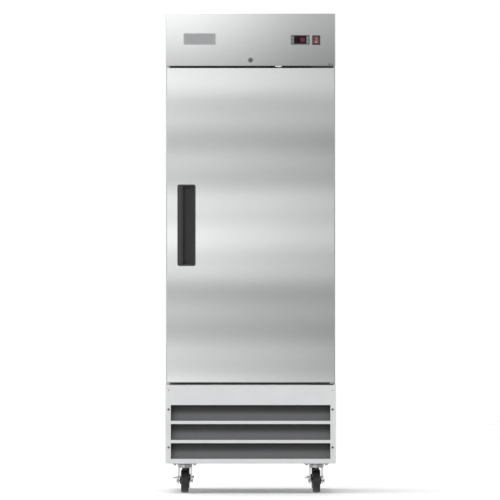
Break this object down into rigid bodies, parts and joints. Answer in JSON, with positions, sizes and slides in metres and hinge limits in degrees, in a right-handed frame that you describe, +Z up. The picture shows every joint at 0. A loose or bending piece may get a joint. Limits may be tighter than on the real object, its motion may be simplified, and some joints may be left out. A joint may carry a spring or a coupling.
{
  "type": "reach in refrigerator",
  "caption": "Upright commercial reach-in refrigerator with one hinged solid door, control header, lower air grille, wire shelves and swivel casters.",
  "frame": {"origin": "on the floor, at the centre of the bounding box's bottom face", "axes": "+Z up, the door faces -Y, +X to the viewer's right, on the door's hinge side"},
  "size_m": [0.74, 0.813, 2.085],
  "materials": {
    "stainless": "satin",
    "grille_grey": "satin",
    "louver_grey": "matte",
    "galvanised": "satin",
    "foam": "matte",
    "black_plastic": "satin",
    "grey_plastic": "satin",
    "white_plastic": "satin",
    "red_plastic": "gloss",
    "grey_rubber": "matte",
    "black_rubber": "satin",
    "zinc": "satin",
    "chrome": "polished",
    "aluminium": "satin",
    "copper": "satin",
    "black_paint": "satin"
  },
  "bodies": {
    "cabinet": {"outer_casing": "stainless", "foam_insulation": "foam", "inner_liner": "stainless", "base_frame": "galvanised", "header_panel": "stainless", "grille_panel": "grille_grey", "louver_insert": "louver_grey", "rear_grille": "galvanised", "power_inlet": "black_plastic", "upper_hinge_bracket": "black_paint", "lower_hinge_bracket": "black_paint", "lower_hinge_pin": "chrome", "controller_housing": "grey_plastic", "rocker_switch_housing": "black_plastic", "lock_barrel": "chrome", "door_switch_housing": "white_plastic", "shelf_lower": "chrome", "shelf_middle": "chrome", "shelf_upper": "chrome", "interior_light": "white_plastic", "evaporator_cover": "aluminium", "evaporator_coil": "aluminium", "evaporator_fan_motor": "black_paint", "condenser_coil": "aluminium", "condenser_fan_motor": "black_paint", "compressor": "black_paint", "refrigerant_lines": "copper", "condensate_pan": "galvanised", "caster_plate_front_left": "zinc", "caster_plate_front_right": "zinc", "caster_plate_rear_left": "zinc", "caster_plate_rear_right": "zinc"},
    "door": {"door_skin": "stainless", "door_core": "foam", "door_liner": "stainless", "door_gasket": "grey_rubber", "door_handle": "black_plastic"},
    "upper_left_button": {"set_button_upper_left": "grey_plastic"},
    "lower_left_button": {"set_button_lower_left": "grey_plastic"},
    "upper_right_button": {"set_button_upper_right": "grey_plastic"},
    "lower_right_button": {"set_button_lower_right": "grey_plastic"},
    "rocker": {"power_rocker": "red_plastic"},
    "lock": {"lock_plug": "chrome"},
    "switch_plunger": {"door_switch_plunger": "white_plastic"},
    "evaporator_blades": {"evaporator_fan": "black_plastic"},
    "condenser_blades": {"condenser_fan": "black_plastic"},
    "swivel_front_left": {"caster_fork_front_left": "zinc", "caster_axle_front_left": "zinc"},
    "wheel_front_left": {"caster_wheel_front_left": "black_rubber"},
    "swivel_front_right": {"caster_fork_front_right": "zinc", "caster_axle_front_right": "zinc"},
    "wheel_front_right": {"caster_wheel_front_right": "black_rubber"},
    "swivel_rear_left": {"caster_fork_rear_left": "zinc", "caster_axle_rear_left": "zinc"},
    "wheel_rear_left": {"caster_wheel_rear_left": "black_rubber"},
    "swivel_rear_right": {"caster_fork_rear_right": "zinc", "caster_axle_rear_right": "zinc"},
    "wheel_rear_right": {"caster_wheel_rear_right": "black_rubber"},
    "brake_left": {"brake_lever_left": "zinc"},
    "brake_right": {"brake_lever_right": "zinc"}
  },
  "joints": [
    {"name": "door_swing", "type": "hinge", "parent": "cabinet", "child": "door", "pos_m": [0.35, -0.384, 0.482], "axis": [0, 0, 1], "range_deg": [0, 120], "stiffness_Nm_per_rad": 3, "springref_deg": -148.97},
    {"name": "door_switch_press", "type": "slide", "parent": "cabinet", "child": "switch_plunger", "axis": [0, 0, -1], "range_m": [0, 0.004]},
    {"name": "brake_front_left", "type": "hinge", "parent": "swivel_front_left", "child": "brake_left", "pos_m": [-0.287, -0.24, 0.0508], "axis": [1, 0, 0], "range_deg": [0, 20]},
    {"name": "brake_front_right", "type": "hinge", "parent": "swivel_front_right", "child": "brake_right", "pos_m": [0.287, -0.24, 0.0508], "axis": [1, 0, 0], "range_deg": [0, 20]},
    {"name": "condenser_fan_spin", "type": "hinge", "parent": "cabinet", "child": "condenser_blades", "pos_m": [-0.12, -0.2187, 0.3], "axis": [0, 1, 0], "continuous": true},
    {"name": "evaporator_fan_spin", "type": "hinge", "parent": "cabinet", "child": "evaporator_blades", "pos_m": [0, -0.0722, 1.91235], "axis": [0, 1, 0], "continuous": true},
    {"name": "key_lock_turn", "type": "hinge", "parent": "cabinet", "child": "lock", "pos_m": [0, -0.4025, 1.882], "axis": [0, 1, 0], "range_deg": [0, 90]},
    {"name": "power_rocker_tilt", "type": "hinge", "parent": "cabinet", "child": "rocker", "pos_m": [0.285, -0.3985, 1.969], "axis": [1, 0, 0], "range_deg": [0, 20]},
    {"name": "set_button_lower_left", "type": "slide", "parent": "cabinet", "child": "lower_left_button", "axis": [0, 1, 0], "range_m": [0, 0.001], "stiffness_N_per_m": 600},
    {"name": "set_button_lower_right", "type": "slide", "parent": "cabinet", "child": "lower_right_button", "axis": [0, 1, 0], "range_m": [0, 0.001], "stiffness_N_per_m": 600},
    {"name": "set_button_upper_left", "type": "slide", "parent": "cabinet", "child": "upper_left_button", "axis": [0, 1, 0], "range_m": [0, 0.001], "stiffness_N_per_m": 600},
    {"name": "set_button_upper_right", "type": "slide", "parent": "cabinet", "child": "upper_right_button", "axis": [0, 1, 0], "range_m": [0, 0.001], "stiffness_N_per_m": 600},
    {"name": "swivel_front_left", "type": "hinge", "parent": "cabinet", "child": "swivel_front_left", "pos_m": [-0.287, -0.275, 0.1135], "axis": [0, 0, 1], "continuous": true},
    {"name": "swivel_front_right", "type": "hinge", "parent": "cabinet", "child": "swivel_front_right", "pos_m": [0.287, -0.275, 0.1135], "axis": [0, 0, 1], "continuous": true},
    {"name": "swivel_rear_left", "type": "hinge", "parent": "cabinet", "child": "swivel_rear_left", "pos_m": [-0.287, 0.315, 0.1135], "axis": [0, 0, 1], "continuous": true},
    {"name": "swivel_rear_right", "type": "hinge", "parent": "cabinet", "child": "swivel_rear_right", "pos_m": [0.287, 0.315, 0.1135], "axis": [0, 0, 1], "continuous": true},
    {"name": "wheel_front_left", "type": "hinge", "parent": "swivel_front_left", "child": "wheel_front_left", "pos_m": [-0.287, -0.24, 0.0508], "axis": [1, 0, 0], "continuous": true},
    {"name": "wheel_front_right", "type": "hinge", "parent": "swivel_front_right", "child": "wheel_front_right", "pos_m": [0.287, -0.24, 0.0508], "axis": [1, 0, 0], "continuous": true},
    {"name": "wheel_rear_left", "type": "hinge", "parent": "swivel_rear_left", "child": "wheel_rear_left", "pos_m": [-0.287, 0.35, 0.0508], "axis": [1, 0, 0], "continuous": true},
    {"name": "wheel_rear_right", "type": "hinge", "parent": "swivel_rear_right", "child": "wheel_rear_right", "pos_m": [0.287, 0.35, 0.0508], "axis": [1, 0, 0], "continuous": true}
  ],
  "couplings": [
    {"joint": "door_switch_press", "follows": "door_swing", "m_per_rad": 0.0019}
  ]
}
